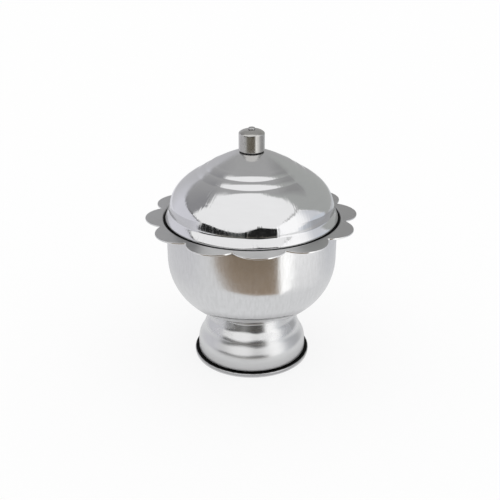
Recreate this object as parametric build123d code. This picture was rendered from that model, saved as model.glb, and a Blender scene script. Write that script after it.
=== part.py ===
from build123d import *
import os

# Kumkum box: a lidded bowl on a tiered foot, pressed from thin steel sheet and riveted together.
# Millimetres, +Z up, origin at the centre of the foot's underside, one petal tip towards -Y.

# Sheet and fits
sheet = 0.5  # wall of every pressed piece
seam = 0.05  # gap between pieces that are fixed to each other
running_clearance = 0.08  # round a rivet that a piece turns on
rest_gap = 0.1  # under the lid's edge, where it stands on the collar
lid_clearance = 0.6  # between the bowl's neck and the lid's haunch

# Foot, from the floor up: skirt, shoulder, slope, riser, slope and neck, standing in a rebated ring
skirt_radius = 17.3
skirt_taper = 0.05
skirt_height = 5.05
shoulder_run = 0.3
shoulder_rise = 1.55
lower_slope_run = 1.55
lower_slope_rise = 2.7
riser_taper = 0.43
riser_rise = 1.5
upper_slope_run = 1.37
upper_slope_rise = 2.35
foot_neck_taper = 0.76
foot_neck_rise = 2.5
foot_bend = 0.8
ring_lip = 1.25  # ledge of the ring outside the skirt
ring_ledge = 0.6  # ring inside the skirt
ring_height = 1.35
ring_rebate = 0.7
ring_round = 0.35

# Bowl: a flat bottom, one large corner, a straight wall and a narrower neck
bowl_radius = 26.25
bowl_flat_radius = 7.75
bowl_height = 30.5  # underside to the shoulder that carries the collar
bowl_shoulder = 2.1
neck_height = 4.0
neck_bend = 0.7

# Petal collar: a flat scalloped ring with a pressed seat for the lid
petals = 12
petal_land = 1.3  # flat metal between the seat and the valleys
petal_length = 3.9  # valley to tip
seat_depth = 0.7
seat_gap = 0.5  # round the lid's edge
seat_step = 0.35

# Lid: hem, flared rim, haunch, dome, two pressed beads, sloping cap and a flat for the knob
hem_height = 0.8
rim_flare = 1.19
rim_rise = 2.45
rim_bulge = 0.05
haunch_run = 3.28
haunch_rise = 7.2
haunch_bulge = 0.715
dome_run = 5.52
dome_rise = 3.9
dome_bulge = 0.29
bead_run = 2.6
bead_rise = 1.675
bead_bulge = 0.15
cap_rise = 3.1
cap_bulge = 0.15
knob_flat_radius = 4.4

# Knob on its dark washer
knob_radius = 3.88
knob_height = 5.35
knob_crown = 0.95
crown_bulge = 0.25
crown_land = 0.3  # flat round the rivet's end
knob_edge = 0.2
knob_washer_inset = 0.25
knob_washer_thickness = 0.35

# Rivets and their steel washers
rivet_radius = 0.8
rivet_head_height = 0.6
rivet_head_round = 0.45
rivet_washer_thickness = 0.5
foot_rivet_head_radius = 3.0
foot_rivet_end_radius = 2.0
foot_washer_radius = 4.0
knob_rivet_head_radius = 2.2
knob_rivet_end_radius = 1.05
lid_washer_radius = 3.4

# Radii that follow from the bowl outwards
neck_radius = bowl_radius - bowl_shoulder
haunch_radius = neck_radius + lid_clearance + sheet
lid_radius = haunch_radius + rim_flare
seat_radius = lid_radius + seat_gap
valley_radius = seat_radius + seat_step + petal_land
tip_radius = valley_radius + petal_length
dome_radius = haunch_radius - haunch_run
bead_radius = dome_radius - dome_run
cap_radius = bead_radius - 2 * bead_run

# Levels that follow from the floor upwards
shoulder_top = skirt_height + shoulder_rise
slope_level = shoulder_top + lower_slope_rise
riser_level = slope_level + riser_rise
foot_neck_level = riser_level + upper_slope_rise
foot_height = foot_neck_level + foot_neck_rise
shoulder_level = foot_height + bowl_height
seat_level = shoulder_level + sheet
petal_level = seat_level + seat_depth
lid_level = seat_level + rest_gap
rim_level = lid_level + hem_height
haunch_level = rim_level + rim_rise
dome_level = haunch_level + haunch_rise
bead_level = dome_level + dome_rise
cap_level = bead_level + 2 * bead_rise
lid_top = cap_level + cap_rise
knob_level = lid_top + knob_washer_thickness
knob_top = knob_level + knob_height + knob_crown


def turned(section):
    """A solid of revolution about Z: the section has radius along X and height along Y."""
    return revolve(Plane.XZ * section, Axis.Z)


def pressed(lines, inside):
    """A shell of revolution: the outer line, drawn from the centre outwards, thickened on one side."""
    wall = Wire(lines).offset_2d(sheet, kind=Kind.TANGENT, side=inside)
    return turned(make_face(wall.edges()))


def flat_ring(outer, inner, low, high):
    """A ring of rectangular section about Z, between two levels."""
    return turned(Pos((outer + inner) / 2, (low + high) / 2) * Rectangle(outer - inner, high - low))


def rivet(low, high, low_radius, high_radius):
    """A rivet that grips from the low level to the high one, with a rounded head beyond each."""
    standing = (Align.CENTER, Align.CENTER, Align.MIN)
    bottom = low - rivet_head_height
    body = Pos(0, 0, bottom) * Cylinder(low_radius, rivet_head_height, align=standing)
    body += Pos(0, 0, bottom) * Cylinder(rivet_radius, high - bottom, align=standing)
    body += Pos(0, 0, high) * Cylinder(high_radius, rivet_head_height, align=standing)
    rims = body.edges().filter_by(GeomType.CIRCLE).sort_by(Axis.Z)
    return fillet([rims[0], rims[-1]], rivet_head_round)


def foot_ring():
    """Ring under the foot: an outer lip round the skirt and an inner ledge that carries it."""
    outer = skirt_radius + ring_lip
    inner = skirt_radius - sheet - ring_ledge
    ring = flat_ring(outer, inner, 0, ring_height)
    ring -= flat_ring(skirt_radius + seam, inner, ring_height - ring_rebate, ring_height)
    rim = ring.edges().filter_by(GeomType.CIRCLE).filter_by(lambda edge: edge.radius > outer - seam)
    return fillet(rim, ring_round)


def foot_shell():
    """Pressed foot: flat top under the bowl, a short neck, then down and out in tiers to the skirt."""
    shoulder_radius = skirt_radius - skirt_taper
    slope_radius = shoulder_radius - shoulder_run
    riser_radius = slope_radius - lower_slope_run
    upper_radius = riser_radius - riser_taper
    neck_foot_radius = upper_radius - upper_slope_run
    line = FilletPolyline(
        (rivet_radius + seam, foot_height),
        (neck_foot_radius - foot_neck_taper, foot_height),
        (neck_foot_radius, foot_neck_level),
        (upper_radius, riser_level),
        (riser_radius, slope_level),
        (slope_radius, shoulder_top),
        (shoulder_radius, skirt_height),
        (skirt_radius, ring_height),
        (skirt_radius, ring_height - ring_rebate),
        radius=foot_bend,
    )
    return pressed(line.edges(), Side.RIGHT)


def foot_rivet_washer():
    """Steel washer inside the foot, under the closed end of its rivet."""
    high = foot_height - sheet
    return flat_ring(foot_washer_radius, rivet_radius + seam, high - rivet_washer_thickness, high)


def foot_rivet():
    """Rivet that holds the foot to the bowl: head inside the bowl, closed end inside the foot."""
    low = foot_height - sheet - rivet_washer_thickness
    return rivet(low, foot_height + sheet, foot_rivet_end_radius, foot_rivet_head_radius)


def bowl():
    """Drawn bowl: flat bottom, one large corner, straight wall, shoulder and neck."""
    bottom = Line((rivet_radius + seam, foot_height), (bowl_flat_radius, foot_height))
    corner = JernArc(bottom @ 1, bottom % 1, bowl_radius - bowl_flat_radius, 90)
    neck = FilletPolyline(
        corner @ 1,
        (bowl_radius, shoulder_level),
        (neck_radius, shoulder_level),
        (neck_radius, shoulder_level + neck_height),
        radius=neck_bend,
    )
    return pressed(bottom.edges() + corner.edges() + neck.edges(), Side.LEFT)


def petal_outline():
    """Face with one arc for each petal, meeting in sharp valleys; the first tip points to -Y."""
    pitch = 360 / petals
    arcs = []
    for number in range(petals):
        tip_angle = number * pitch - 90
        valley = Vector(valley_radius, 0).rotate(Axis.Z, tip_angle - pitch / 2)
        tip = Vector(tip_radius, 0).rotate(Axis.Z, tip_angle)
        next_valley = Vector(valley_radius, 0).rotate(Axis.Z, tip_angle + pitch / 2)
        arcs.append(ThreePointArc(valley, tip, next_valley))
    return make_face(arcs)


def petal_collar():
    """Scalloped ring: flat petals outside, and inside them a pressed seat that lies on the shoulder."""
    line = Polyline(
        (neck_radius + neck_bend + seam, seat_level),
        (seat_radius, seat_level),
        (seat_radius + seat_step, petal_level),
        (tip_radius + petal_land, petal_level),
    )
    blank = pressed(line.edges(), Side.RIGHT)
    return blank & extrude(petal_outline(), petal_level)


def lid_shell():
    """Pressed lid: flat for the knob, cap, two beads, dome, haunch, flared rim and hem."""
    corners = [
        (knob_flat_radius, lid_top),
        (cap_radius, cap_level),
        (cap_radius + bead_run, cap_level - bead_rise),
        (bead_radius, bead_level),
        (dome_radius, dome_level),
        (haunch_radius, haunch_level),
        (lid_radius, rim_level),
    ]
    bulges = [cap_bulge, bead_bulge, bead_bulge, dome_bulge, haunch_bulge, rim_bulge]
    lines = [Line((rivet_radius + running_clearance, lid_top), corners[0])]
    for start, end, bulge in zip(corners, corners[1:], bulges):
        lines.append(SagittaArc(start, end, bulge))
    lines.append(Line(corners[-1], (lid_radius, lid_level)))
    return pressed(lines, Side.RIGHT)


def lid_rivet_washer():
    """Steel washer inside the lid, over the head of the knob's rivet."""
    high = lid_top - sheet
    bore = rivet_radius + running_clearance
    return flat_ring(lid_washer_radius, bore, high - rivet_washer_thickness, high)


def knob_washer():
    """Dark washer between the lid and the knob, a little smaller than the knob."""
    bore = rivet_radius + running_clearance
    return flat_ring(knob_radius - knob_washer_inset, bore, lid_top, knob_level)


def knob():
    """Turned knob: a plain drum with a shallow crown, bored for its rivet."""
    bore = rivet_radius + running_clearance
    crown_flat = knob_rivet_end_radius + crown_land
    drum_top = knob_level + knob_height
    drum = Polyline((bore, knob_top), (bore, knob_level), (knob_radius, knob_level), (knob_radius, drum_top))
    crown = SagittaArc((knob_radius, drum_top), (crown_flat, knob_top), -crown_bulge)
    top = Line((crown_flat, knob_top), (bore, knob_top))
    body = turned(make_face(drum.edges() + crown.edges() + top.edges()))
    rims = body.edges().filter_by(GeomType.CIRCLE).filter_by(lambda edge: edge.radius > knob_radius - seam)
    return fillet(rims, knob_edge)


def knob_rivet():
    """Rivet through knob and lid: head inside the lid, closed end on the knob's crown."""
    low = lid_top - sheet - rivet_washer_thickness - seam
    return rivet(low, knob_top + seam, knob_rivet_head_radius, knob_rivet_end_radius)


os.makedirs("parts", exist_ok=True)
for piece in (
    foot_ring,
    foot_shell,
    foot_rivet_washer,
    foot_rivet,
    bowl,
    petal_collar,
    lid_shell,
    lid_rivet_washer,
    knob_washer,
    knob,
    knob_rivet,
):
    export_step(piece(), f"parts/{piece.__name__}.step")
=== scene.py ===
import math
import bpy
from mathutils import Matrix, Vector


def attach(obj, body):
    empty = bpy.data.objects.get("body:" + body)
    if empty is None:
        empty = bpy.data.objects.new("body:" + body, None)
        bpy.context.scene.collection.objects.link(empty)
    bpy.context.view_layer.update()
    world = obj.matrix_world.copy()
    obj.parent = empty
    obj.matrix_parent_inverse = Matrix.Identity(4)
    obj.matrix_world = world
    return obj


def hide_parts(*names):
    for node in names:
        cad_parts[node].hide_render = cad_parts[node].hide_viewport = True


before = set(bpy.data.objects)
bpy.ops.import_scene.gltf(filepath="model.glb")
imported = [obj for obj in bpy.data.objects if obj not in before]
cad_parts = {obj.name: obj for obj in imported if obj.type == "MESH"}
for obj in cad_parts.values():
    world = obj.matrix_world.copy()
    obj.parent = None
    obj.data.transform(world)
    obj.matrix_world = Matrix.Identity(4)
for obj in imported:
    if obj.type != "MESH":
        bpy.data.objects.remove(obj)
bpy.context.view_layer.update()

# Foot ring: the band that the box stands on, turned from steel bar and polished.
# The skirt of the foot drops into a rebate on its inner side and is pressed home there,
# and the seam is painted dark as shade.
MM = 0.001
WELD_DISTANCE = 0.001


def run(start, end, bulge, pitch):
    """Points of one run of a section in millimetres: straight, or standing out to the left by bulge."""
    start, end = Vector(start), Vector(end)
    chord = end - start
    steps = max(2, math.ceil(chord.length / pitch))
    if not bulge:
        return [start.lerp(end, step / steps) for step in range(steps + 1)]
    half = chord.length / 2
    left = Vector((-chord.y, chord.x)).normalized()
    centre = (start + end) / 2 + left * (bulge - (half * half + bulge * bulge) / (2 * bulge))
    sweep = -4 * math.atan(bulge / half)
    arm = start - centre
    points = []
    for step in range(steps + 1):
        turn = sweep * step / steps
        points.append(centre + Vector((
            arm.x * math.cos(turn) - arm.y * math.sin(turn),
            arm.x * math.sin(turn) + arm.y * math.cos(turn),
        )))
    return points


def eased(runs, bends, steps=6):
    """Joins runs end to end and rounds each corner over the reach of its bend."""
    line = list(runs[0])
    for following, bend in zip(runs[1:], bends):
        corner = following[0]
        if not bend:
            line += following[1:]
            continue
        line = [point for point in line if (point - corner).length > bend]
        onward = [point for point in following if (point - corner).length > bend]
        enter = corner + (line[-1] - corner).normalized() * bend
        leave = corner + (onward[0] - corner).normalized() * bend
        for step in range(steps + 1):
            share = step / steps
            line.append(enter.lerp(corner, share).lerp(corner.lerp(leave, share), share))
        line += onward
    return line


def outline(corners, bends, bulges=None, pitch=0.5):
    """A section line through corners, with a bend at each inner corner and a bulge on each run."""
    bulges = bulges or [0.0] * (len(corners) - 1)
    runs = [run(a, b, bulge, pitch) for a, b, bulge in zip(corners, corners[1:], bulges)]
    return eased(runs, bends)


def new_node(tree, kind, inputs=None, **settings):
    """Adds a node; an input is a plain value or another node's output."""
    made = tree.nodes.new(kind)
    for name, value in settings.items():
        setattr(made, name, value)
    for key, value in (inputs or {}).items():
        if isinstance(value, bpy.types.NodeSocket):
            tree.links.new(value, made.inputs[key])
        else:
            made.inputs[key].default_value = value
    return made


def maths(tree, operation, *terms):
    """Output of a Math node."""
    return new_node(tree, "ShaderNodeMath", dict(enumerate(terms)), operation=operation).outputs[0]


def new_form(name, sizes):
    """A Geometry Nodes tree that makes a form from a section, with its named inputs and nothing else yet."""
    tree = bpy.data.node_groups.new(name, "GeometryNodeTree")
    tree.interface.new_socket("Section", in_out="INPUT", socket_type="NodeSocketGeometry")
    for label, kind in sizes:
        tree.interface.new_socket(label, in_out="INPUT", socket_type="NodeSocket" + kind)
    tree.interface.new_socket("Finish", in_out="INPUT", socket_type="NodeSocketMaterial")
    tree.interface.new_socket("Form", in_out="OUTPUT", socket_type="NodeSocketGeometry")
    return tree, tree.nodes.new("NodeGroupInput").outputs


def grid_cell(tree, columns):
    """Row and column of each point of a grid: rows follow the section, columns go round Z."""
    index = tree.nodes.new("GeometryNodeInputIndex").outputs[0]
    row = maths(tree, "FLOOR", maths(tree, "DIVIDE", maths(tree, "ADD", index, 0.5), columns))
    return row, maths(tree, "SUBTRACT", index, maths(tree, "MULTIPLY", row, columns))


def section_point(tree, section, row):
    """The point of the section that belongs to each row."""
    place = tree.nodes.new("GeometryNodeInputPosition").outputs[0]
    found = new_node(tree, "GeometryNodeSampleIndex", {"Geometry": section, "Value": place, "Index": row},
                     data_type="FLOAT_VECTOR", domain="POINT")
    return found.outputs[0]


def carried_round(tree, points, columns, place, angle):
    """A grid with each point turned round Z to its angle, and with its seams and poles closed."""
    turned = new_node(tree, "ShaderNodeVectorRotate", {"Vector": place, "Angle": angle},
                      rotation_type="Z_AXIS")
    grid = new_node(tree, "GeometryNodeMeshGrid", {"Vertices X": points, "Vertices Y": columns})
    shaped = new_node(tree, "GeometryNodeSetPosition",
                      {"Geometry": grid.outputs["Mesh"], "Position": turned.outputs[0]})
    closed = new_node(tree, "GeometryNodeMergeByDistance",
                      {"Geometry": shaped.outputs[0], "Distance": WELD_DISTANCE * MM})
    return closed.outputs[0]


def end_form(tree, mesh, finish):
    """Ends a tree with smooth, real geometry in its finish."""
    smooth = new_node(tree, "GeometryNodeSetShadeSmooth", {0: mesh})
    real = new_node(tree, "GeometryNodeRealizeInstances", {0: smooth.outputs[0]})
    finished = new_node(tree, "GeometryNodeSetMaterial", {"Geometry": real.outputs[0], "Material": finish})
    new_node(tree, "NodeGroupOutput", {0: finished.outputs[0]})


def build_spun_form():
    """Geometry Nodes: the points of a section are carried round Z, dented a little and given a finish."""
    tree, given = new_form("spun_form", (
        ("Points", "Int"), ("Steps", "Int"), ("Dent depth", "Float"), ("Dent size", "Float"),
        ("Seed", "Float")))
    columns = maths(tree, "ADD", given["Steps"], 1.0)
    row, column = grid_cell(tree, columns)
    angle = maths(tree, "MULTIPLY", maths(tree, "DIVIDE", column, given["Steps"]), 2 * math.pi)
    place = section_point(tree, given["Section"], row)
    closed = carried_round(tree, given["Points"], columns, place, angle)
    noise = new_node(tree, "ShaderNodeTexNoise",
                     {"W": given["Seed"], "Scale": maths(tree, "DIVIDE", 1.0, given["Dent size"]),
                      "Detail": 1.0}, noise_dimensions="4D")
    push = maths(tree, "MULTIPLY", maths(tree, "SUBTRACT", noise.outputs[0], 0.5), given["Dent depth"])
    normal = tree.nodes.new("GeometryNodeInputNormal").outputs[0]
    offset = new_node(tree, "ShaderNodeVectorMath", {0: normal, "Scale": push}, operation="SCALE")
    dented = new_node(tree, "GeometryNodeSetPosition", {"Geometry": closed, "Offset": offset.outputs[0]})
    end_form(tree, dented.outputs[0], given["Finish"])
    return tree


spun_form = build_spun_form()


def facing_out(section):
    """The same section, run clockwise, so that the faces made from it point out of the metal."""
    area = sum(a.x * b.y - b.x * a.y for a, b in zip(section, section[1:] + section[:1]))
    return section[::-1] if area > 0 else section


def made_by(tree, name, section, **sizes):
    """Runs a Geometry Nodes tree on the points of a section and keeps the result as a plain mesh."""
    section = facing_out(section)
    mesh = bpy.data.meshes.new(name + "_section")
    mesh.from_pydata([(radius * MM, 0, level * MM) for radius, level in section], [], [])
    piece = bpy.data.objects.new(name, mesh)
    bpy.context.scene.collection.objects.link(piece)
    maker = piece.modifiers.new("maker", "NODES")
    maker.node_group = tree
    sizes["Points"] = len(section)
    for socket in tree.interface.items_tree:
        if socket.in_out == "INPUT" and socket.name in sizes:
            maker[socket.identifier] = sizes[socket.name]
    evaluated = piece.evaluated_get(bpy.context.evaluated_depsgraph_get())
    made = bpy.data.meshes.new_from_object(evaluated)
    made.name = name
    piece.modifiers.clear()
    piece.data = made
    return piece


def spun(name, section, finish, steps, dent_depth=0.0, dent_size=12.0, seed=0.0):
    """A piece of revolution from its section."""
    return made_by(spun_form, name, section, **{
        "Steps": steps, "Dent depth": dent_depth * MM, "Dent size": dent_size * MM,
        "Seed": seed, "Finish": finish})


def new_effect(name, inputs, outputs):
    """An empty shader node group with its named inputs and outputs."""
    group = bpy.data.node_groups.new(name, "ShaderNodeTree")
    for label, usual in inputs.items():
        socket = group.interface.new_socket(label, in_out="INPUT", socket_type="NodeSocketFloat")
        socket.default_value = usual
    for label in outputs:
        group.interface.new_socket(label, in_out="OUTPUT", socket_type="NodeSocketFloat")
    return group, group.nodes.new("NodeGroupInput").outputs


def polar(tree):
    """Place, distance from the axis, heading round it and level, all from Object coordinates."""
    place = tree.nodes.new("ShaderNodeTexCoord").outputs["Object"]
    level = new_node(tree, "ShaderNodeSeparateXYZ", {0: place}).outputs["Z"]
    flat = new_node(tree, "ShaderNodeVectorMath", {0: place, 1: (1, 1, 0)}, operation="MULTIPLY").outputs[0]
    radius = new_node(tree, "ShaderNodeVectorMath", {0: flat}, operation="LENGTH").outputs["Value"]
    heading = new_node(tree, "ShaderNodeVectorMath", {0: flat}, operation="NORMALIZE").outputs[0]
    return {"place": place, "radius": radius, "heading": heading, "level": level}


def ramp(tree, value, low, high, falling=False, smooth=False):
    """Rises from 0 at low to 1 at high, or falls from 1 to 0."""
    made = new_node(tree, "ShaderNodeMapRange", {
        "Value": value, "From Min": low, "From Max": high,
        "To Min": 1.0 if falling else 0.0, "To Max": 0.0 if falling else 1.0,
    }, interpolation_type="SMOOTHSTEP" if smooth else "LINEAR")
    return made.outputs[0]


def streaked(tree, heading, drift, track, detail):
    """Noise drawn out along a track: it changes by drift round the axis and with each unit of the track."""
    around = new_node(tree, "ShaderNodeVectorMath", {0: heading, "Scale": drift}, operation="SCALE")
    step = new_node(tree, "ShaderNodeCombineXYZ", {"Z": track})
    spot = new_node(tree, "ShaderNodeVectorMath", {0: around.outputs[0], 1: step.outputs[0]}, operation="ADD")
    noise = new_node(tree, "ShaderNodeTexNoise", {"Vector": spot.outputs[0], "Scale": 1.0, "Detail": detail})
    return noise.outputs[0]


def build_turning_lines():
    """Fine lines round the axis, as the spinning tool and the polishing wheel leave them."""
    level_share = 1.37  # a line's track moves on with the level too, so that walls and slopes both have lines
    band_fineness = 0.11
    tree, given = new_effect("turning_lines", {"Lines per mm": 3.0, "Drift": 4.0}, ("Height", "Bands"))
    spot = polar(tree)
    along = maths(tree, "SUBTRACT", spot["radius"], maths(tree, "MULTIPLY", spot["level"], level_share))
    track = maths(tree, "MULTIPLY", maths(tree, "DIVIDE", along, MM), given["Lines per mm"])
    bands = maths(tree, "MULTIPLY", track, band_fineness)
    new_node(tree, "NodeGroupOutput", {
        "Height": streaked(tree, spot["heading"], given["Drift"], track, 1.0),
        "Bands": streaked(tree, spot["heading"], given["Drift"], bands, 1.0)})
    return tree


def build_handling():
    """Finger smudges and an uneven polish: soft blotches, and a slower change of tone."""
    bare_from, cover_reach, soft_edge = 0.72, 0.45, 0.25  # noise from which smudges show, and how it shifts
    tone_scale = 0.35
    tree, given = new_effect("handling", {"Blotch size mm": 6.0, "Cover": 0.5}, ("Smudge", "Tone"))
    place = tree.nodes.new("ShaderNodeTexCoord").outputs["Object"]
    scale = maths(tree, "DIVIDE", 1 / MM, given["Blotch size mm"])
    blotch = new_node(tree, "ShaderNodeTexNoise", {"Vector": place, "Scale": scale, "Detail": 3.0,
                                                   "Distortion": 0.6})
    low = maths(tree, "SUBTRACT", bare_from, maths(tree, "MULTIPLY", given["Cover"], cover_reach))
    smudge = ramp(tree, blotch.outputs[0], low, maths(tree, "ADD", low, soft_edge), smooth=True)
    tone = new_node(tree, "ShaderNodeTexNoise", {"Vector": place, "Detail": 2.0,
                                                 "Scale": maths(tree, "MULTIPLY", scale, tone_scale)})
    new_node(tree, "NodeGroupOutput", {"Smudge": smudge, "Tone": tone.outputs[0]})
    return tree


def build_seam_shade_effect():
    """Painted shade in a seam: a dark, broken ring at one radius and level, where shade falls in the crevice.
    """
    full_to, clear_from = 0.65, 1.1  # shares of the reach
    grains_per_mm, raggedness = 0.9, 0.5
    tree, given = new_effect("seam_shade_effect", {"Radius mm": 10.0, "Level mm": 0.0, "Reach mm": 0.5}, ("Painted shade",))
    spot = polar(tree)
    aside = maths(tree, "SUBTRACT", maths(tree, "DIVIDE", spot["radius"], MM), given["Radius mm"])
    above = maths(tree, "SUBTRACT", maths(tree, "DIVIDE", spot["level"], MM), given["Level mm"])
    squares = maths(tree, "ADD", maths(tree, "MULTIPLY", aside, aside), maths(tree, "MULTIPLY", above, above))
    away = maths(tree, "DIVIDE", maths(tree, "SQRT", squares), given["Reach mm"])
    grain = new_node(tree, "ShaderNodeTexNoise", {"Vector": spot["place"], "Scale": grains_per_mm / MM,
                                                  "Detail": 2.0})
    uneven = maths(tree, "MULTIPLY", maths(tree, "SUBTRACT", grain.outputs[0], 0.5), raggedness)
    seam_dark = ramp(tree, maths(tree, "ADD", away, uneven), full_to, clear_from, falling=True, smooth=True)
    new_node(tree, "NodeGroupOutput", {"Painted shade": seam_dark})
    return tree


turning_lines = build_turning_lines()
handling = build_handling()
seam_shade_effect = build_seam_shade_effect()
# Painted seam shade: a dark colour and a matte gloss put into seams where shade falls.
SEAM_SHADE_COLOUR = (0.012, 0.012, 0.011, 1)
SEAM_SHADE_ROUGHNESS = 0.7


def effect(tree, group, **inputs):
    """Places a shader node group with its own values."""
    made = new_node(tree, "ShaderNodeGroup", node_tree=group)
    for label, value in inputs.items():
        made.inputs[label.replace("_", " ")].default_value = value
    return made.outputs


def blend(tree, kind, share, first, second):
    """Mix of two colours (RGBA) or values (FLOAT)."""
    made = tree.nodes.new("ShaderNodeMix")
    made.data_type = kind
    places = [socket for socket in made.inputs if socket.enabled]
    for socket, value in zip(places, (share, first, second)):
        if isinstance(value, bpy.types.NodeSocket):
            tree.links.new(value, socket)
        else:
            socket.default_value = value
    return next(socket for socket in made.outputs if socket.enabled)


def new_finish(name, metallic):
    """An empty material, with its tree and its surface shader."""
    finish = bpy.data.materials.new(name)
    finish.use_nodes = True
    surface = finish.node_tree.nodes["Principled BSDF"]
    surface.inputs["Metallic"].default_value = metallic
    return finish, finish.node_tree, surface


def spun_steel(name, bright, dull, rough, smudged, lines, line_height, blotch=6.0, cover=0.5, painted_seam_shades=(),
               anisotropy=0.0):
    """Steel worked on a lathe: tone and gloss vary with handling, with fine lines round the axis.

    Lines are per mm, their height and the blotches are in mm, a painted seam shade is its radius, level and
    reach in mm.
    """
    band_share = 0.4
    finish, tree, surface = new_finish(name, 1.0)
    surface.inputs["Anisotropic"].default_value = anisotropy
    if anisotropy:
        around = new_node(tree, "ShaderNodeTangent", direction_type="RADIAL", axis="Z")
        tree.links.new(around.outputs[0], surface.inputs["Tangent"])
    hands = effect(tree, handling, Blotch_size_mm=blotch, Cover=cover)
    turning = effect(tree, turning_lines, Lines_per_mm=lines)
    tone = blend(tree, "FLOAT", band_share, hands["Tone"], turning["Bands"])
    colour = blend(tree, "RGBA", tone, (*bright, 1), (*dull, 1))
    gloss = blend(tree, "FLOAT", hands["Smudge"], rough, smudged)
    # Each seam is painted dark, standing in for the shade in its crevice.
    for radius, level, reach in painted_seam_shades:
        ring = effect(tree, seam_shade_effect, Radius_mm=radius, Level_mm=level, Reach_mm=reach)
        colour = blend(tree, "RGBA", ring["Painted shade"], colour, SEAM_SHADE_COLOUR)
        gloss = blend(tree, "FLOAT", ring["Painted shade"], gloss, SEAM_SHADE_ROUGHNESS)
    bump = new_node(tree, "ShaderNodeBump", {"Strength": 1.0, "Distance": line_height * MM,
                                             "Height": turning["Height"]})
    tree.links.new(colour, surface.inputs["Base Color"])
    tree.links.new(gloss, surface.inputs["Roughness"])
    tree.links.new(bump.outputs[0], surface.inputs["Normal"])
    return finish


skirt_radius = 17.3
ring_outer = 18.55
ring_inner = 16.2
ring_top = 1.35
rebate_radius = 17.35
rebate_floor = 0.65
ring_corners = [
    (skirt_radius, 0), (ring_outer, 0), (ring_outer, ring_top), (rebate_radius, ring_top),
    (rebate_radius, rebate_floor), (ring_inner, rebate_floor), (ring_inner, 0), (skirt_radius, 0),
]
ring_rounds = [0.35, 0.35, 0.12, 0.08, 0.1, 0.12]
# The seam between the ring and the skirt is painted dark as shade.
ring_joint_shade = (17.8, 1.55, 0.68)
ring_steel = spun_steel("ring_steel", (0.7, 0.7, 0.71), (0.56, 0.56, 0.56), rough=0.14, smudged=0.3,
                        lines=5.0, line_height=0.0008, painted_seam_shades=[ring_joint_shade])
foot_ring = spun("foot_ring_turned", outline(ring_corners, ring_rounds, pitch=0.25), ring_steel, steps=256)
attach(foot_ring, "base")
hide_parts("foot_ring")

# Foot: a bell of thin steel sheet in soft tiers, spun on a former and polished, duller low down.
# Its flat top is riveted under the bowl and its skirt stands in the foot ring.
SHEET = 0.5


def walled(line, wall, edge=0.12):
    """A closed section: a line, eased edges, and the same line set off to the right by the wall."""
    full_wall = 0.98 * abs(wall)  # in a tight bend, points set off to less than this are left out
    inner = []
    for place, point in enumerate(line):
        before, after = line[max(place - 1, 0)], line[min(place + 1, len(line) - 1)]
        along = (after - before).normalized()
        set_off = point + Vector((along.y, -along.x)) * wall
        if min((set_off - other).length for other in line) > full_wall:
            inner.append(set_off)
    middle = (line[0] + inner[0]) / 2
    runs = [[middle, line[0]], line, [line[-1], (line[-1] + inner[-1]) / 2, inner[-1]], inner[::-1],
            [inner[0], middle]]
    return eased(runs, [edge] * 4, steps=4)


def roughen(finish, mask, roughness):
    """Takes a finish's polish down to a roughness where a mask in its tree says so."""
    tree = finish.node_tree
    socket = tree.nodes["Principled BSDF"].inputs["Roughness"]
    polish = socket.links[0].from_socket
    tree.links.new(blend(tree, "FLOAT", mask, polish, roughness), socket)


foot_top = 15.65
rivet_hole = 0.85
foot_neck_top = (12.84, foot_top)
foot_neck_base = (13.6, 13.15)
riser_top = (14.97, 10.8)
riser_base = (15.4, 9.3)
foot_shoulder = (16.95, 6.6)
skirt_top = (17.25, 5.05)
foot_corners = [
    (rivet_hole, foot_top), foot_neck_top, foot_neck_base, riser_top, riser_base, foot_shoulder, skirt_top,
    (skirt_radius, ring_top), (skirt_radius, rebate_floor),
]
foot_bends = [0.25, 0.5, 0.7, 0.75, 0.72, 0.84, 0.3]
# The skirt's seam in the ring and the top under the bowl are painted dark as shade.
skirt_joint_shade = (skirt_radius, 1.3, 0.4)
bowl_joint_shade = (11.6, 15.8, 0.9)
dull_below, polished_above = 7.0, 12.0
foot_steel = spun_steel("foot_steel", (0.84, 0.84, 0.84), (0.75, 0.75, 0.75), rough=0.245, smudged=0.31,
                        lines=4.0, line_height=0.0008, painted_seam_shades=[skirt_joint_shade, bowl_joint_shade])
foot_level = polar(foot_steel.node_tree)["level"]
low_down = ramp(foot_steel.node_tree, foot_level, dull_below * MM, polished_above * MM, falling=True)
roughen(foot_steel, low_down, 0.325)
foot = spun("foot_pressed", walled(outline(foot_corners, foot_bends, pitch=0.3), SHEET), foot_steel,
            steps=224, dent_depth=0.02, seed=2.0)
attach(foot, "base")
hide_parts("foot_shell")

# Foot rivet and its washer: plain steel, closed with a hammer.
# The head lies inside the bowl; the other end closes on the washer inside the foot.
WASHER = 0.5


def rivet_section(low, high, low_radius, high_radius):
    """A rivet's section from its lowest point on the axis to its highest."""
    head, shank, crown = 0.6, 0.8, 0.45
    return outline(
        [(0, low - head), (low_radius, low - head), (low_radius, low), (shank, low), (shank, high),
         (high_radius, high), (high_radius, high + head), (0, high + head)],
        [crown, 0.1, 0.05, 0.05, 0.1, crown], pitch=0.3)


def washer_section(outer, inner, low, high, edge=0.1):
    """A washer's section, with its edges just broken."""
    middle = (outer + inner) / 2
    return outline([(middle, low), (outer, low), (outer, high), (inner, high), (inner, low), (middle, low)],
                   [edge] * 4, pitch=0.3)


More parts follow.
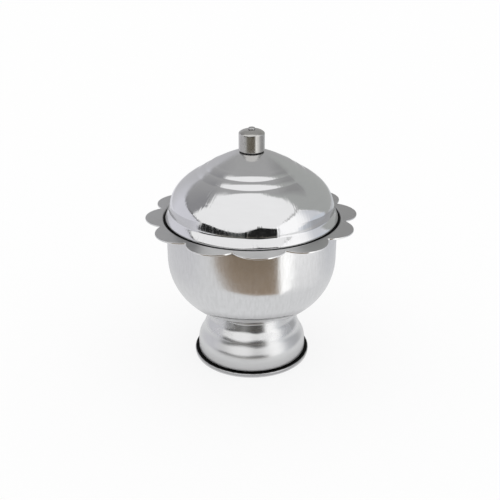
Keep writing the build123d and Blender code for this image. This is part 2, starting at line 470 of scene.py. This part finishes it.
foot_washer_radius = 4.0
foot_washer_top = foot_top - SHEET
foot_washer_base = foot_washer_top - WASHER
foot_rivet_end_radius = 2.0
foot_rivet_head_radius = 3.0
rivet_steel = spun_steel("rivet_steel", (0.6, 0.6, 0.6), (0.46, 0.455, 0.45), rough=0.3, smudged=0.42,
                         lines=4.0, line_height=0.0015)
foot_washer = spun("foot_rivet_washer_stamped",
                   washer_section(foot_washer_radius, rivet_hole, foot_washer_base, foot_washer_top),
                   rivet_steel, steps=96)
foot_rivet = spun("foot_rivet_closed",
                  rivet_section(foot_washer_base, foot_top + SHEET, foot_rivet_end_radius,
                                foot_rivet_head_radius),
                  rivet_steel, steps=96)
for piece, node in ((foot_washer, "foot_rivet_washer"), (foot_rivet, "foot_rivet")):
    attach(piece, "base")
    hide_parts(node)

# Bowl: one deep drawing of steel sheet, satin brushed on a wheel and wiped up and down with a cloth.
# A flat bottom, one large corner, a straight wall, a shoulder for the collar and a neck for the lid.


def build_wiping():
    """Faint marks that run up and down a round piece, as a polishing cloth leaves them."""
    tree, given = new_effect("wiping", {"Marks round": 90.0, "Length mm": 14.0}, ("Marks",))
    spot = polar(tree)
    drift = maths(tree, "DIVIDE", given["Marks round"], 2 * math.pi)
    track = maths(tree, "DIVIDE", maths(tree, "DIVIDE", spot["level"], MM), given["Length mm"])
    new_node(tree, "NodeGroupOutput", {"Marks": streaked(tree, spot["heading"], drift, track, 3.0)})
    return tree


wiping = build_wiping()


def wipe(finish, marks_round, length, depth, dulled=None):
    """Adds the marks of a cloth to a finish, over its lines; they may also dull its tone."""
    clean_to, dull_from = 0.4, 0.64
    tree = finish.node_tree
    surface = tree.nodes["Principled BSDF"]
    marks = effect(tree, wiping, Marks_round=marks_round, Length_mm=length)["Marks"]
    lined = surface.inputs["Normal"].links[0].from_socket
    wiped = new_node(tree, "ShaderNodeBump", {"Strength": 1.0, "Distance": depth * MM, "Height": marks,
                                              "Normal": lined})
    tree.links.new(wiped.outputs[0], surface.inputs["Normal"])
    if dulled:
        clean = surface.inputs["Base Color"].links[0].from_socket
        streaks = ramp(tree, marks, clean_to, dull_from)
        tree.links.new(blend(tree, "RGBA", streaks, clean, (*dulled, 1)), surface.inputs["Base Color"])


bowl_radius = 26.25
bowl_flat_radius = 7.75
bowl_corner = bowl_radius - bowl_flat_radius
bowl_shoulder = 46.15
bowl_neck_radius = 24.15
bowl_neck_top = 50.15
bowl_corners = [
    (rivet_hole, foot_top), (bowl_flat_radius, foot_top), (bowl_radius, foot_top + bowl_corner),
    (bowl_radius, bowl_shoulder), (bowl_neck_radius, bowl_shoulder), (bowl_neck_radius, bowl_neck_top),
]
bowl_bends = [0, 0, 0.7, 0.7]
bowl_bulges = [0, -bowl_corner * (1 - math.cos(math.radians(45))), 0, 0, 0]
# The bowl's underside round the foot is painted dark as shade.
foot_joint_shade = (11.6, 15.9, 1.0)
bowl_steel = spun_steel("bowl_steel", (0.86, 0.86, 0.87), (0.77, 0.77, 0.775), rough=0.17, smudged=0.24,
                        lines=6.0, line_height=0.0012, blotch=9.0, painted_seam_shades=[foot_joint_shade], anisotropy=0.5)
wipe(bowl_steel, marks_round=240.0, length=2.5, depth=0.015, dulled=(0.775, 0.775, 0.78))
bowl_line = outline(bowl_corners, bowl_bends, bowl_bulges, pitch=0.6)
bowl = spun("bowl_drawn", walled(bowl_line, -SHEET), bowl_steel, steps=224, dent_depth=0.05, dent_size=15.0,
            seed=5.0)
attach(bowl, "base")
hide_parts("bowl")

# Petal collar: a flat ring of rolled steel sheet, stamped with twelve round petals.
# Their upright edge is painted lighter as a highlight. A seat for the lid's edge is pressed into the ring,
# which lies on the bowl's shoulder, and the seat is painted dark as shade.
PETALS = 12
seat_level = 46.65
seat_inner = 24.9
seat_radius = 26.94
step_radius = 27.29
petal_level = 47.35
drawn_from = 27.6
drawn_to = 28.3
valley_radius = 28.59
tip_radius = 32.49


def build_petal_form():
    """Geometry Nodes: a section is carried round Z and drawn out into round petals beyond a circle."""
    tree, given = new_form("petal_form", (
        ("Points", "Int"), ("Petals", "Int"), ("Steps", "Int"), ("Petal centre", "Float"),
        ("Petal radius", "Float"), ("Petal sweep", "Float"), ("Valley radius", "Float"),
        ("Drawn from", "Float"), ("Drawn to", "Float"), ("Bend", "Float"), ("Seed", "Int")))
    around = maths(tree, "MULTIPLY", given["Petals"], given["Steps"])
    columns = maths(tree, "ADD", around, 1.0)
    row, column = grid_cell(tree, columns)
    petal = maths(tree, "FLOOR", maths(tree, "DIVIDE", maths(tree, "ADD", column, 0.5), given["Steps"]))
    share = maths(tree, "SUBTRACT", maths(tree, "DIVIDE", column, given["Steps"]), petal)
    swing = maths(tree, "MULTIPLY", maths(tree, "SUBTRACT", maths(tree, "MULTIPLY", share, 2.0), 1.0),
                  given["Petal sweep"])
    out = maths(tree, "ADD", given["Petal centre"],
                maths(tree, "MULTIPLY", given["Petal radius"], maths(tree, "COSINE", swing)))
    aside = maths(tree, "MULTIPLY", given["Petal radius"], maths(tree, "SINE", swing))
    reach = maths(tree, "SQRT", maths(tree, "ADD", maths(tree, "MULTIPLY", out, out),
                                      maths(tree, "MULTIPLY", aside, aside)))
    drawn = maths(tree, "SUBTRACT", reach, given["Valley radius"])
    pitch = maths(tree, "DIVIDE", 2 * math.pi, given["Petals"])
    angle = maths(tree, "ADD", maths(tree, "ARCTAN2", aside, out),
                  maths(tree, "SUBTRACT", maths(tree, "MULTIPLY", petal, pitch), math.pi / 2))
    parts = new_node(tree, "ShaderNodeSeparateXYZ", {0: section_point(tree, given["Section"], row)}).outputs
    taken = ramp(tree, parts["X"], given["Drawn from"], given["Drawn to"])
    lift = new_node(tree, "FunctionNodeRandomValue",
                    {"Min": -1.0, "Max": 1.0, "ID": petal, "Seed": given["Seed"]}, data_type="FLOAT")
    chance = next(socket for socket in lift.outputs if socket.enabled)
    beyond = maths(tree, "MULTIPLY", taken, drawn)
    rise = maths(tree, "MULTIPLY", maths(tree, "MULTIPLY", chance, given["Bend"]), beyond)
    place = new_node(tree, "ShaderNodeCombineXYZ", {"X": maths(tree, "ADD", parts["X"], beyond),
                                                    "Z": maths(tree, "ADD", parts["Z"], rise)})
    closed = carried_round(tree, given["Points"], columns, place.outputs[0], angle)
    end_form(tree, closed, given["Finish"])
    return tree


def build_rolled_grain():
    """Straight fine lines of rolled sheet, and short scratches that cross them."""
    grain_stretch, scratch_stretch = (0.02, 1.0, 1.0), (0.06, 1.0, 1.0)
    scratch_turn, scratch_scale = 0.9, 0.5
    scratch_from, scratch_full = 0.68, 0.74
    tree, given = new_effect("rolled_grain", {"Lines per mm": 5.0}, ("Height", "Scratch"))
    place = tree.nodes.new("ShaderNodeTexCoord").outputs["Object"]
    fine = maths(tree, "DIVIDE", given["Lines per mm"], MM)
    along = new_node(tree, "ShaderNodeVectorMath", {0: place, 1: grain_stretch}, operation="MULTIPLY")
    grain = new_node(tree, "ShaderNodeTexNoise", {"Vector": along.outputs[0], "Scale": fine, "Detail": 2.0})
    turned = new_node(tree, "ShaderNodeVectorRotate", {"Vector": place, "Angle": scratch_turn},
                      rotation_type="Z_AXIS")
    across = new_node(tree, "ShaderNodeVectorMath", {0: turned.outputs[0], 1: scratch_stretch},
                      operation="MULTIPLY")
    scored = new_node(tree, "ShaderNodeTexNoise", {"Vector": across.outputs[0],
                                                   "Scale": maths(tree, "MULTIPLY", fine, scratch_scale)})
    scratch = ramp(tree, scored.outputs[0], scratch_from, scratch_full)
    new_node(tree, "NodeGroupOutput", {"Height": grain.outputs[0], "Scratch": scratch})
    return tree


def build_collar_steel():
    """Rolled sheet: grain, scratches and smudges, painted shade in the seat and a painted highlight on the
    petals' upright edge.
    """
    upright_to, level_from = 0.5, 0.85  # how far up or down a face looks, from an upright edge to a flat
    finish, tree, surface = new_finish("collar_steel", 1.0)
    grain = effect(tree, build_rolled_grain(), Lines_per_mm=5.0)
    hands = effect(tree, handling, Blotch_size_mm=5.0, Cover=0.45)
    # Painted shade: the seat under the lid's edge is painted dark.
    seat_painted_shade = effect(tree, seam_shade_effect, Radius_mm=26.75, Level_mm=seat_level, Reach_mm=0.5)["Painted shade"]
    normal = tree.nodes.new("ShaderNodeTexCoord").outputs["Normal"]
    lean = maths(tree, "ABSOLUTE", new_node(tree, "ShaderNodeSeparateXYZ", {0: normal}).outputs["Z"])
    outside = maths(tree, "GREATER_THAN", polar(tree)["radius"], drawn_to * MM)
    # Painted highlight mask: the upright faces of the petals, beyond the drawn circle.
    edge_painted_highlight = maths(tree, "MULTIPLY", ramp(tree, lean, upright_to, level_from, falling=True), outside)
    tone = blend(tree, "FLOAT", 0.5, hands["Tone"], grain["Height"])
    colour = blend(tree, "RGBA", tone, (0.64, 0.64, 0.64, 1), (0.5, 0.5, 0.495, 1))
    colour = blend(tree, "RGBA", seat_painted_shade, colour, SEAM_SHADE_COLOUR)
    # A painted highlight: the petals' upright edge is painted lighter; its lower roughness is real.
    colour = blend(tree, "RGBA", edge_painted_highlight, colour, (0.88, 0.88, 0.88, 1))
    gloss = blend(tree, "FLOAT", hands["Smudge"], 0.3, 0.4)
    gloss = blend(tree, "FLOAT", grain["Scratch"], gloss, 0.5)
    gloss = blend(tree, "FLOAT", seat_painted_shade, gloss, SEAM_SHADE_ROUGHNESS)
    gloss = blend(tree, "FLOAT", edge_painted_highlight, gloss, 0.15)
    bump = new_node(tree, "ShaderNodeBump", {"Strength": 1.0, "Distance": 0.002 * MM,
                                             "Height": grain["Height"]})
    tree.links.new(colour, surface.inputs["Base Color"])
    tree.links.new(gloss, surface.inputs["Roughness"])
    tree.links.new(bump.outputs[0], surface.inputs["Normal"])
    return finish


half_pitch = math.pi / PETALS
valley_out, valley_aside = valley_radius * math.cos(half_pitch), valley_radius * math.sin(half_pitch)
petal_centre = (valley_radius ** 2 - tip_radius ** 2) / (2 * (valley_out - tip_radius))
collar_corners = [(seat_inner, seat_level), (seat_radius, seat_level), (step_radius, petal_level),
                  (valley_radius, petal_level)]
collar_bends = [0.2, 0.25]
collar_section = walled(outline(collar_corners, collar_bends, pitch=0.2), SHEET, edge=0.14)
petal_collar = made_by(build_petal_form(), "petal_collar_stamped", collar_section, **{
    "Petals": PETALS, "Steps": 28, "Petal centre": petal_centre * MM,
    "Petal radius": (tip_radius - petal_centre) * MM,
    "Petal sweep": math.atan2(valley_aside, valley_out - petal_centre),
    "Valley radius": valley_radius * MM, "Drawn from": drawn_from * MM, "Drawn to": drawn_to * MM,
    "Bend": 0.03, "Seed": 7, "Finish": build_collar_steel()})
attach(petal_collar, "base")
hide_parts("petal_collar")

# Lid: thin steel sheet spun to a dome with two pressed beads, a sloping cap and a flared rim.
# It is polished to a mirror, wiped up and down by hand, and its hemmed edge stands in the collar's seat.
lid_top = 67.55
lid_hole = 0.88
lid_radius = 26.44
cap_top = (4.4, lid_top)
cap_base = (11.25, 64.45)
bead_valley = (13.85, 62.775)
bead_base = (16.45, 61.1)
dome_base = (21.97, 57.2)
haunch_base = (25.25, 50.0)
rim_base = (lid_radius, 47.55)
lid_edge = (lid_radius, 46.75)
lid_corners = [(lid_hole, lid_top), cap_top, cap_base, bead_valley, bead_base, dome_base, haunch_base,
               rim_base, lid_edge]
lid_bends = [0.5, 0.3, 0.3, 0.3, 0, 0.3, 0.25]
lid_bulges = [0, 0.15, 0.15, 0.15, 0.29, 0.715, 0.05, 0]
lid_steel = spun_steel("lid_steel", (0.82, 0.82, 0.83), (0.74, 0.74, 0.745), rough=0.05, smudged=0.09,
                       lines=4.0, line_height=0.0003, blotch=8.0, cover=0.4)
wipe(lid_steel, marks_round=300.0, length=14.0, depth=0.025)
scored_from, scored_full = 0.5, 0.66
handled_below, unhandled_above = 51.5, 54.0
tree = lid_steel.node_tree
scores = effect(tree, wiping, Marks_round=700.0, Length_mm=5.0)["Marks"]
handled = ramp(tree, polar(tree)["level"], handled_below * MM, unhandled_above * MM, falling=True)
roughen(lid_steel, maths(tree, "MULTIPLY", ramp(tree, scores, scored_from, scored_full), handled), 0.22)
lid = spun("lid_spun", walled(outline(lid_corners, lid_bends, lid_bulges), SHEET), lid_steel,
           steps=256, dent_depth=0.012, dent_size=12.0, seed=9.0)
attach(lid, "lid")
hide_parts("lid_shell")

# Washer inside the lid: a small stamped steel ring between the sheet and the rivet's head.
# It keeps the head from pulling through the thin lid.
lid_washer_radius = 3.4
lid_washer_top = lid_top - SHEET
lid_washer_base = lid_washer_top - WASHER
lid_washer = spun("lid_rivet_washer_stamped",
                  washer_section(lid_washer_radius, lid_hole, lid_washer_base, lid_washer_top),
                  rivet_steel, steps=96)
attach(lid_washer, "lid")
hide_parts("lid_rivet_washer")

# Knob washer: a thin black ring between the lid and the knob, a little smaller than the knob, so that a dark
# line shows under it.
# It is punched from sheet, and the rivet squeezes it so that its edge swells.
knob_base = 67.9
knob_washer_radius = 3.63
black_washer_finish, tree, surface = new_finish("washer_rubber", 0.0)
hands = effect(tree, handling, Blotch_size_mm=1.2, Cover=0.5)
tree.links.new(blend(tree, "RGBA", hands["Tone"], (0.012, 0.012, 0.012, 1), (0.035, 0.034, 0.033, 1)),
               surface.inputs["Base Color"])
tree.links.new(blend(tree, "FLOAT", hands["Smudge"], 0.6, 0.8), surface.inputs["Roughness"])
knob_washer = spun("knob_washer_punched",
                   washer_section(knob_washer_radius, lid_hole, lid_top, knob_base, edge=0.15),
                   black_washer_finish, steps=128)
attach(knob_washer, "lid")
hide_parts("knob_washer")

# Knob: a plain drum with a shallow crown, turned from steel bar and bored for its rivet.
# The turning tool leaves fine lines, and both rims are just broken.
knob_radius = 3.88
drum_top = 73.25
knob_top = 74.2
crown_flat = 1.35
knob_middle = 2.4
knob_corners = [
    (knob_middle, knob_base), (knob_radius, knob_base), (knob_radius, drum_top), (crown_flat, knob_top),
    (lid_hole, knob_top), (lid_hole, knob_base), (knob_middle, knob_base),
]
knob_rounds = [0.22, 0.3, 0.1, 0.08, 0.08]
knob_bulges = [0, 0, -0.25, 0, 0, 0]
knob_steel = spun_steel("knob_steel", (0.66, 0.65, 0.63), (0.5, 0.49, 0.47), rough=0.2, smudged=0.3,
                        lines=7.0, line_height=0.002, blotch=2.5)
knob = spun("knob_turned", outline(knob_corners, knob_rounds, knob_bulges, pitch=0.25), knob_steel, steps=160)
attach(knob, "lid")
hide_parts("knob")

# Knob rivet: plain steel, through knob, washers and lid, with its closed end standing on the crown.
# Lid and knob turn about it, so it stands a little clear of them.
rivet_play = 0.05
knob_rivet_head_radius = 2.2
knob_rivet_end_radius = 1.05
knob_rivet = spun("knob_rivet_closed",
                  rivet_section(lid_washer_base - rivet_play, knob_top + rivet_play, knob_rivet_head_radius,
                                knob_rivet_end_radius),
                  rivet_steel, steps=96)
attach(knob_rivet, "rivet")
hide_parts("knob_rivet")

# Studio: a pale floor in a white room, with plain walls and sheets round the box that only its polish sees.
# Bearings are degrees to the right from the camera's side, heights are degrees above the middle of the lid.
CAMERA_BEARING = -4.4
WALL_DISTANCE = 280
DOME_RADIUS = 24
DOME_LEVEL = 54
FLOOR_HEIGHT = -12
SHEET_LEVEL = 0.3
UNDER_LEVEL = SHEET_LEVEL * 0.75
TABLE_LEVEL = SHEET_LEVEL / 2
floor_white = 0.97
floor_size = 4.0
shadow_lift = 0.75
floor_paint, tree, surface = new_finish("floor_paint", 0.0)
surface.inputs["Roughness"].default_value = 1.0
surface.inputs["Specular IOR Level"].default_value = 0.0
surface.inputs["Base Color"].default_value = (floor_white, floor_white, floor_white, 1)
ray = tree.nodes.new("ShaderNodeLightPath").outputs
mirrored = maths(tree, "MAXIMUM", ray["Is Glossy Ray"], ray["Is Transmission Ray"])
seen = maths(tree, "MAXIMUM", ray["Is Camera Ray"], mirrored)
white = new_node(tree, "ShaderNodeEmission", {"Color": (1, 1, 1, 1), "Strength": 1.0})
lifted = new_node(tree, "ShaderNodeMixShader", {0: maths(tree, "MULTIPLY", seen, shadow_lift),
                                                1: surface.outputs[0], 2: white.outputs[0]})
tree.links.new(lifted.outputs[0], tree.nodes["Material Output"].inputs["Surface"])
floor_corners = [(right * floor_size, away * floor_size, 0)
                 for right, away in ((-1, -1), (1, -1), (1, 1), (-1, 1))]
floor_mesh = bpy.data.meshes.new("floor")
floor_mesh.from_pydata(floor_corners, [], [(0, 1, 2, 3)])
floor_mesh.materials.append(floor_paint)
floor = bpy.data.objects.new("floor", floor_mesh)
bpy.context.scene.collection.objects.link(floor)


def bearing_point(bearing, distance, level):
    """A point round the box, from its bearing, its distance from the axis and its level in mm."""
    turn = math.radians(bearing + CAMERA_BEARING)
    return (distance * MM * math.sin(turn), -distance * MM * math.cos(turn), level * MM)


def between_stations(stations):
    """Stations along a band, with more of them worked out between each two."""
    pitch = 4.0  # degrees
    filled = [stations[0]]
    for before, after in zip(stations, stations[1:]):
        steps = max(1, math.ceil(abs(after[0] - before[0]) / pitch))
        for step in range(1, steps + 1):
            filled.append([a + (b - a) * step / steps for a, b in zip(before, after)])
    return filled


def glowing_band(name, near_edge, far_edge, near_colour, far_colour, covers):
    """A band between two edges that only polish sees; its cover fades it where a reflection is soft."""
    paint = bpy.data.materials.new(name + "_paint")
    paint.use_nodes = True
    tree = paint.node_tree
    tree.nodes.clear()
    shade = new_node(tree, "ShaderNodeVertexColor", layer_name="shade")
    glow = new_node(tree, "ShaderNodeEmission", {"Color": shade.outputs["Color"], "Strength": 1.0})
    clear = new_node(tree, "ShaderNodeBsdfTransparent")
    mixed = new_node(tree, "ShaderNodeMixShader", {0: shade.outputs["Alpha"], 1: clear.outputs[0],
                                                   2: glow.outputs[0]})
    new_node(tree, "ShaderNodeOutputMaterial", {0: mixed.outputs[0]})
    count = len(near_edge)
    faces = [(k, k + 1, count + k + 1, count + k) for k in range(count - 1)]
    mesh = bpy.data.meshes.new(name)
    mesh.from_pydata(near_edge + far_edge, [], faces)
    layer = mesh.color_attributes.new("shade", "FLOAT_COLOR", "POINT")
    for place, cover in enumerate(covers):
        layer.data[place].color = (*near_colour, cover)
        layer.data[count + place].color = (*far_colour, cover)
    mesh.materials.append(paint)
    made = bpy.data.objects.new(name, mesh)
    bpy.context.scene.collection.objects.link(made)
    made.visible_camera = False
    made.visible_diffuse = False
    made.visible_shadow = False


def level_at(height, distance):
    """The level in mm that a wall at a distance has where the lid sees it at a height in degrees."""
    return max(DOME_LEVEL + (distance - DOME_RADIUS) * math.tan(math.radians(height)), SHEET_LEVEL)


def wall(name, colour, distance, stations):
    """An upright wall: each station is a bearing, a lower and an upper height, and a cover."""
    bearings, lows, highs, covers = zip(*between_stations(stations))
    edges = []
    for heights in (lows, highs):
        levels = [level_at(height, distance) for height in heights]
        edges.append([bearing_point(bearing, distance, level) for bearing, level in zip(bearings, levels)])
    glowing_band(name, *edges, colour, colour, covers)


def standing_wall(name, colour, distance, stations):
    """A wall from the floor up: each station is a bearing, an upper height and a cover."""
    wall(name, colour, distance, [(bearing, FLOOR_HEIGHT, top, cover) for bearing, top, cover in stations])


def low_wall(name, colour, distance, stations):
    """A low wall that only the foot sees well: each station is a bearing, a top level in mm and a cover."""
    bearings, tops, covers = zip(*between_stations(stations))
    low_edge = [bearing_point(bearing, distance, SHEET_LEVEL) for bearing in bearings]
    high_edge = [bearing_point(bearing, distance, top) for bearing, top in zip(bearings, tops)]
    glowing_band(name, low_edge, high_edge, colour, colour, covers)


def sheet(name, near_colour, far_colour, level, stations):
    """A sheet on the floor: each station is a bearing, a near and a far distance in mm, and a cover."""
    bearings, nears, fars, covers = zip(*between_stations(stations))
    near_edge = [bearing_point(bearing, near, level) for bearing, near in zip(bearings, nears)]
    far_edge = [bearing_point(bearing, far, level) for bearing, far in zip(bearings, fars)]
    glowing_band(name, near_edge, far_edge, near_colour, far_colour, covers)


standing_wall("back_wall", (0.42, 0.42, 0.42), 360, [
    (98, 60, 1), (120, 68, 1), (150, 75, 1), (180, 76, 1), (210, 72, 1), (240, 62, 1), (266, 53, 1)])
wall("right_wall", (0.43, 0.44, 0.43), 340, [
    (82, 36, 46, 1), (90, 27, 54, 1), (100, 12, 63, 1), (106, 4, 70, 1), (114, -4, 74, 1), (125, -8, 76, 1),
    (160, -8, 77, 1)])
wall("right_back_shade", (0.32, 0.32, 0.32), 335, [
    (112, 40, 66, 0), (130, 40, 71, 1), (155, 40, 75, 0.8), (178, 40, 76, 0)])
standing_wall("right_panel_back", (0.55, 0.57, 0.62), 325, [
    (58, 29, 1), (75, 34, 1), (83, 34, 1), (95, 20, 1), (109, 0, 1)])
standing_wall("right_panel", (1.2, 1.2, 1.2), 320, [
    (33, 14, 1), (45, 22, 1), (60, 30, 1), (72, 34, 0.85), (83, 34, 0.3), (95, 20, 0.2), (109, 0, 0.4)])
standing_wall("right_panel_foot", (0.66, 0.7, 0.76), 310, [(58, -4, 0), (70, 0, 1), (90, 8, 1), (112, 0, 1)])
wall("right_panel_edge", (0.5, 0.5, 0.5), 310, [
    (40, 19, 21, 0), (50, 25, 28.5, 1), (60, 30, 34, 1), (80, 40, 45, 1), (96, 52, 56, 0.6)])
standing_wall("left_wall", (0.73, 0.73, 0.78), 320, [
    (-180, 34, 0.2), (-150, 32, 0.45), (-122, 25, 1), (-90, 16, 1), (-72, 7, 1)])
wall("left_upper_wall", (0.3, 0.3, 0.31), 330, [
    (-160, 32, 62, 0), (-130, 27, 59, 0.5), (-105, 20, 55, 1), (-86, 14, 47, 1)])
wall("left_wall_edge", (0.16, 0.16, 0.16), 310, [
    (-150, 31, 33, 0.2), (-120, 23, 26, 0.7), (-100, 18, 20.5, 1), (-86, 14, 16.5, 1), (-70, 6, 9, 1)])
standing_wall("dark_left", (0.02, 0.02, 0.02), WALL_DISTANCE, [
    (-72, -6, 1), (-66, 9.5, 1), (-52, 8, 1), (-40, 4.5, 1), (-28, 1.5, 1)])
standing_wall("dark_middle", (0.07, 0.075, 0.075), WALL_DISTANCE, [(-28, 1.5, 1), (-18, 0.5, 1), (-9, 3, 1)])
standing_wall("dark_right", (0.014, 0.014, 0.014), WALL_DISTANCE, [
    (-9, 3, 1), (1, 12, 1), (7, 15, 1), (9, 22, 1), (12, 17, 1), (20, 14, 1), (33, 9, 1)])

table_grey = (0.73, 0.735, 0.74)
left_grey = (0.63, 0.63, 0.65)
deep_brown = (0.085, 0.065, 0.042)
paper_white = (0.95, 0.95, 0.95)
paper_bright = (1.3, 1.3, 1.28)
sheet("left_floor_edge", table_grey, left_grey, UNDER_LEVEL, [
    (-180, 45, 115, 1), (-80, 45, 115, 1), (-52, 45, 115, 0)])
sheet("left_floor", left_grey, (0.8, 0.8, 0.85), UNDER_LEVEL, [
    (-180, 115, 320, 1), (-80, 115, 320, 1), (-52, 115, 320, 0)])
sheet("right_floor_edge", table_grey, (0.56, 0.57, 0.6), SHEET_LEVEL, [
    (80, 50, 130, 0), (112, 50, 130, 1), (165, 50, 130, 1)])
sheet("right_floor", (0.66, 0.68, 0.7), (0.5, 0.51, 0.52), SHEET_LEVEL, [
    (84, 130, 340, 0), (100, 130, 340, 1), (165, 130, 340, 1)])
sheet("brown_cloth", (0.34, 0.265, 0.195), deep_brown, SHEET_LEVEL, [
    (-52, 116, 180, 0), (-40, 104, 180, 0.85), (-22, 84, 180, 1), (0, 72, 180, 1), (30, 70, 180, 1),
    (32.5, 70, 180, 0)])
sheet("brown_cloth_end", deep_brown, (0.4, 0.375, 0.31), SHEET_LEVEL, [
    (-52, 180, 278, 0), (-40, 180, 278, 0.85), (-22, 180, 278, 1), (30, 180, 278, 1), (32.5, 180, 278, 0)])
sheet("bright_paper", paper_bright, paper_bright, SHEET_LEVEL, [
    (31, 64, 270, 0), (33.5, 66, 270, 1), (43, 82, 270, 1), (54, 100, 270, 0)])
sheet("white_paper_edge", table_grey, paper_white, UNDER_LEVEL, [
    (31, 58, 110, 0), (35, 58, 110, 1), (82, 58, 120, 0.7), (106, 58, 120, 0)])
sheet("white_paper", paper_white, paper_white, UNDER_LEVEL, [
    (31, 110, 270, 0), (35, 110, 270, 1), (82, 120, 270, 0.7), (106, 120, 270, 0)])
sheet("table_shade", (0.54, 0.54, 0.545), table_grey, TABLE_LEVEL, [(-180, 19, 27, 1), (180, 19, 27, 1)])
sheet("table", table_grey, table_grey, TABLE_LEVEL, [(-180, 27, 360, 1), (180, 27, 360, 1)])

low_wall("low_right_wall", (0.34, 0.34, 0.35), 150, [
    (62, 70, 0), (84, 56, 0.8), (113, 36, 0.8), (140, 14, 0.8)])
low_wall("low_left_wall", (0.5, 0.5, 0.52), 150, [
    (-62, 70, 0), (-84, 56, 0.6), (-113, 36, 0.6), (-140, 14, 0.6)])
canopy_level = 125
canopy_grey = (0.42, 0.42, 0.42)
canopy_edges = []
for front in (2.6, -90):
    canopy_edges.append([
        bearing_point(math.degrees(math.atan2(right, front)), math.hypot(right, front), canopy_level)
        for right in (-45, -25, 25, 45)])
glowing_band("canopy", *canopy_edges, canopy_grey, canopy_grey, (0, 1, 1, 0))

world = bpy.data.worlds.new("white_room")
world.use_nodes = True
world.node_tree.nodes["Background"].inputs["Color"].default_value = (1, 1, 1, 1)
world.node_tree.nodes["Background"].inputs["Strength"].default_value = 1.0
bpy.context.scene.world = world

# Camera: the photo's view, a little above the box and nearly straight on.
# It aims at the axis, and a small shift of the lens brings the box to its place in the picture.
camera_rise = 24.3
camera_distance = 245
aim_level = 35.33
bearing, rise = math.radians(CAMERA_BEARING), math.radians(camera_rise)
target = Vector((0, 0, aim_level)) * MM
back = Vector((math.sin(bearing) * math.cos(rise), -math.cos(bearing) * math.cos(rise), math.sin(rise)))
lens = bpy.data.cameras.new("camera")
lens.lens = 56.2
lens.sensor_width = 36
lens.shift_x = -0.0034
lens.clip_start = 0.01
camera = bpy.data.objects.new("camera", lens)
camera.location = target + back * camera_distance * MM
camera.rotation_euler = (-back).to_track_quat("-Z", "Y").to_euler()
bpy.context.scene.collection.objects.link(camera)
bpy.context.scene.camera = camera
bpy.context.scene.view_settings.view_transform = "Standard"
